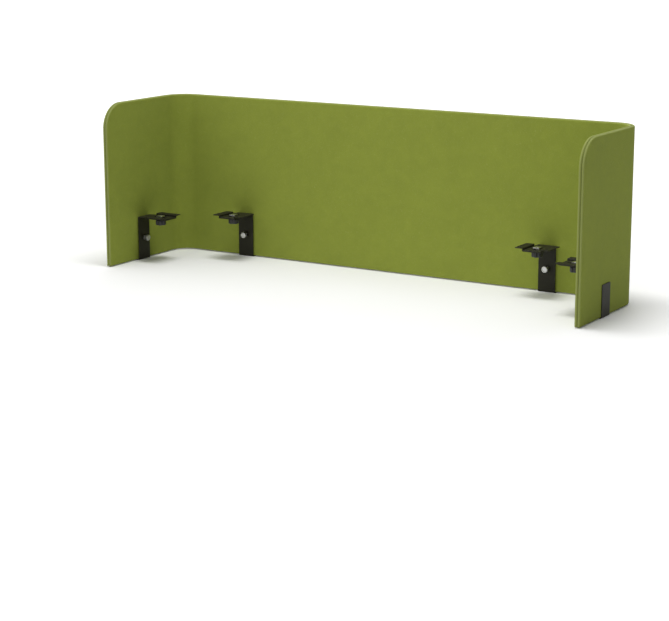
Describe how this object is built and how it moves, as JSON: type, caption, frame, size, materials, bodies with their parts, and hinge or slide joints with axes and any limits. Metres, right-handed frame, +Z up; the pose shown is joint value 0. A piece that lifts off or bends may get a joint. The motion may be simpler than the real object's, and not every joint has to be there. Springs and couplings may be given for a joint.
{
  "type": "desk privacy panel",
  "caption": "U-shaped felt privacy panel that wraps the back and ends of a desk, held by steel straps on adjustable plates screwed under the desktop.",
  "frame": {"origin": "below the middle of the part's bounding box, level with the undersides of the four straps", "axes": "+X along the desk from the left wing to the right wing, +Y towards the back panel, +Z up"},
  "size_m": [1.66, 0.4084, 0.5225],
  "materials": {
    "outer_felt": "green pressed felt",
    "inner_felt": "green pressed felt",
    "core_board": "light fibreboard, hidden",
    "core_former": "bent plywood, hidden",
    "strap_black": "charcoal powder coat, satin",
    "plate_black": "black powder coat, satin",
    "zinc": "bright zinc plate",
    "knob_plastic": "black moulded plastic"
  },
  "bodies": {
    "screen": {"outer_skin": "outer_felt", "inner_skin": "inner_felt", "back_board": "core_board", "left_wing_board": "core_board", "right_wing_board": "core_board", "left_corner_former": "core_former", "right_corner_former": "core_former", "left_wing_strap": "strap_black", "left_wing_weld_nut": "zinc", "right_wing_strap": "strap_black", "right_wing_weld_nut": "zinc", "left_back_strap": "strap_black", "left_back_weld_nut": "zinc", "right_back_strap": "strap_black", "right_back_weld_nut": "zinc"},
    "left_wing_slider": {"left_wing_desk_plate": "plate_black", "left_wing_t_nut": "zinc"},
    "left_wing_pad": {"left_wing_pressure_plate": "zinc"},
    "left_wing_screw": {"left_wing_pinch_screw": "zinc"},
    "left_wing_lock_washer": {"left_wing_washer": "zinc"},
    "left_wing_lock": {"left_wing_knob": "knob_plastic", "left_wing_stud": "zinc"},
    "right_wing_slider": {"right_wing_desk_plate": "plate_black", "right_wing_t_nut": "zinc"},
    "right_wing_pad": {"right_wing_pressure_plate": "zinc"},
    "right_wing_screw": {"right_wing_pinch_screw": "zinc"},
    "right_wing_lock_washer": {"right_wing_washer": "zinc"},
    "right_wing_lock": {"right_wing_knob": "knob_plastic", "right_wing_stud": "zinc"},
    "left_back_slider": {"left_back_desk_plate": "plate_black", "left_back_t_nut": "zinc"},
    "left_back_pad": {"left_back_pressure_plate": "zinc"},
    "left_back_screw": {"left_back_pinch_screw": "zinc"},
    "left_back_lock_washer": {"left_back_washer": "zinc"},
    "left_back_lock": {"left_back_knob": "knob_plastic", "left_back_stud": "zinc"},
    "right_back_slider": {"right_back_desk_plate": "plate_black", "right_back_t_nut": "zinc"},
    "right_back_pad": {"right_back_pressure_plate": "zinc"},
    "right_back_screw": {"right_back_pinch_screw": "zinc"},
    "right_back_lock_washer": {"right_back_washer": "zinc"},
    "right_back_lock": {"right_back_knob": "knob_plastic", "right_back_stud": "zinc"}
  },
  "joints": [
    {"name": "left_wing_plate_slide", "type": "slide", "parent": "screen", "child": "left_wing_slider", "axis": [1, 0, 0], "range_m": [-0.02, 0.02]},
    {"name": "left_wing_pad_travel", "type": "slide", "parent": "screen", "child": "left_wing_pad", "axis": [1, 0, 0], "range_m": [0, 0.0015]},
    {"name": "left_wing_pinch_turn", "type": "hinge", "parent": "left_wing_pad", "child": "left_wing_screw", "pos_m": [-0.8035, -0.03425, 0.072], "axis": [1, 0, 0], "range_deg": [0, 540.1]},
    {"name": "left_wing_washer_travel", "type": "slide", "parent": "left_wing_slider", "child": "left_wing_lock_washer", "axis": [0, 0, -1], "range_m": [0, 0.003]},
    {"name": "left_wing_knob_turn", "type": "hinge", "parent": "left_wing_lock_washer", "child": "left_wing_lock", "pos_m": [-0.7345, -0.03425, 0.1378], "axis": [0, 0, -1], "range_deg": [0, 1080.1]},
    {"name": "right_wing_plate_slide", "type": "slide", "parent": "screen", "child": "right_wing_slider", "axis": [-1, 0, 0], "range_m": [-0.02, 0.02]},
    {"name": "right_wing_pad_travel", "type": "slide", "parent": "screen", "child": "right_wing_pad", "axis": [-1, 0, 0], "range_m": [0, 0.0015]},
    {"name": "right_wing_pinch_turn", "type": "hinge", "parent": "right_wing_pad", "child": "right_wing_screw", "pos_m": [0.8035, -0.03425, 0.072], "axis": [-1, 0, 0], "range_deg": [0, 540.1]},
    {"name": "right_wing_washer_travel", "type": "slide", "parent": "right_wing_slider", "child": "right_wing_lock_washer", "axis": [0, 0, -1], "range_m": [0, 0.003]},
    {"name": "right_wing_knob_turn", "type": "hinge", "parent": "right_wing_lock_washer", "child": "right_wing_lock", "pos_m": [0.7345, -0.03425, 0.1378], "axis": [0, 0, -1], "range_deg": [0, 1080.1]},
    {"name": "left_back_plate_slide", "type": "slide", "parent": "screen", "child": "left_back_slider", "axis": [0, -1, 0], "range_m": [-0.02, 0.02]},
    {"name": "left_back_pad_travel", "type": "slide", "parent": "screen", "child": "left_back_pad", "axis": [0, -1, 0], "range_m": [0, 0.0015]},
    {"name": "left_back_pinch_turn", "type": "hinge", "parent": "left_back_pad", "child": "left_back_screw", "pos_m": [-0.546, 0.17775, 0.072], "axis": [0, -1, 0], "range_deg": [0, 540.1]},
    {"name": "left_back_washer_travel", "type": "slide", "parent": "left_back_slider", "child": "left_back_lock_washer", "axis": [0, 0, -1], "range_m": [0, 0.003]},
    {"name": "left_back_knob_turn", "type": "hinge", "parent": "left_back_lock_washer", "child": "left_back_lock", "pos_m": [-0.546, 0.10875, 0.1378], "axis": [0, 0, -1], "range_deg": [0, 1080.1]},
    {"name": "right_back_plate_slide", "type": "slide", "parent": "screen", "child": "right_back_slider", "axis": [0, -1, 0], "range_m": [-0.02, 0.02]},
    {"name": "right_back_pad_travel", "type": "slide", "parent": "screen", "child": "right_back_pad", "axis": [0, -1, 0], "range_m": [0, 0.0015]},
    {"name": "right_back_pinch_turn", "type": "hinge", "parent": "right_back_pad", "child": "right_back_screw", "pos_m": [0.546, 0.17775, 0.072], "axis": [0, -1, 0], "range_deg": [0, 540.1]},
    {"name": "right_back_washer_travel", "type": "slide", "parent": "right_back_slider", "child": "right_back_lock_washer", "axis": [0, 0, -1], "range_m": [0, 0.003]},
    {"name": "right_back_knob_turn", "type": "hinge", "parent": "right_back_lock_washer", "child": "right_back_lock", "pos_m": [0.546, 0.10875, 0.1378], "axis": [0, 0, -1], "range_deg": [0, 1080.1]}
  ],
  "couplings": [
    {"joint": "left_wing_pinch_turn", "follows": "left_wing_pad_travel", "rad_per_m": 6283.2},
    {"joint": "left_wing_knob_turn", "follows": "left_wing_washer_travel", "rad_per_m": 6283.2},
    {"joint": "right_wing_pinch_turn", "follows": "right_wing_pad_travel", "rad_per_m": 6283.2},
    {"joint": "right_wing_knob_turn", "follows": "right_wing_washer_travel", "rad_per_m": 6283.2},
    {"joint": "left_back_pinch_turn", "follows": "left_back_pad_travel", "rad_per_m": 6283.2},
    {"joint": "left_back_knob_turn", "follows": "left_back_washer_travel", "rad_per_m": 6283.2},
    {"joint": "right_back_pinch_turn", "follows": "right_back_pad_travel", "rad_per_m": 6283.2},
    {"joint": "right_back_knob_turn", "follows": "right_back_washer_travel", "rad_per_m": 6283.2}
  ]
}
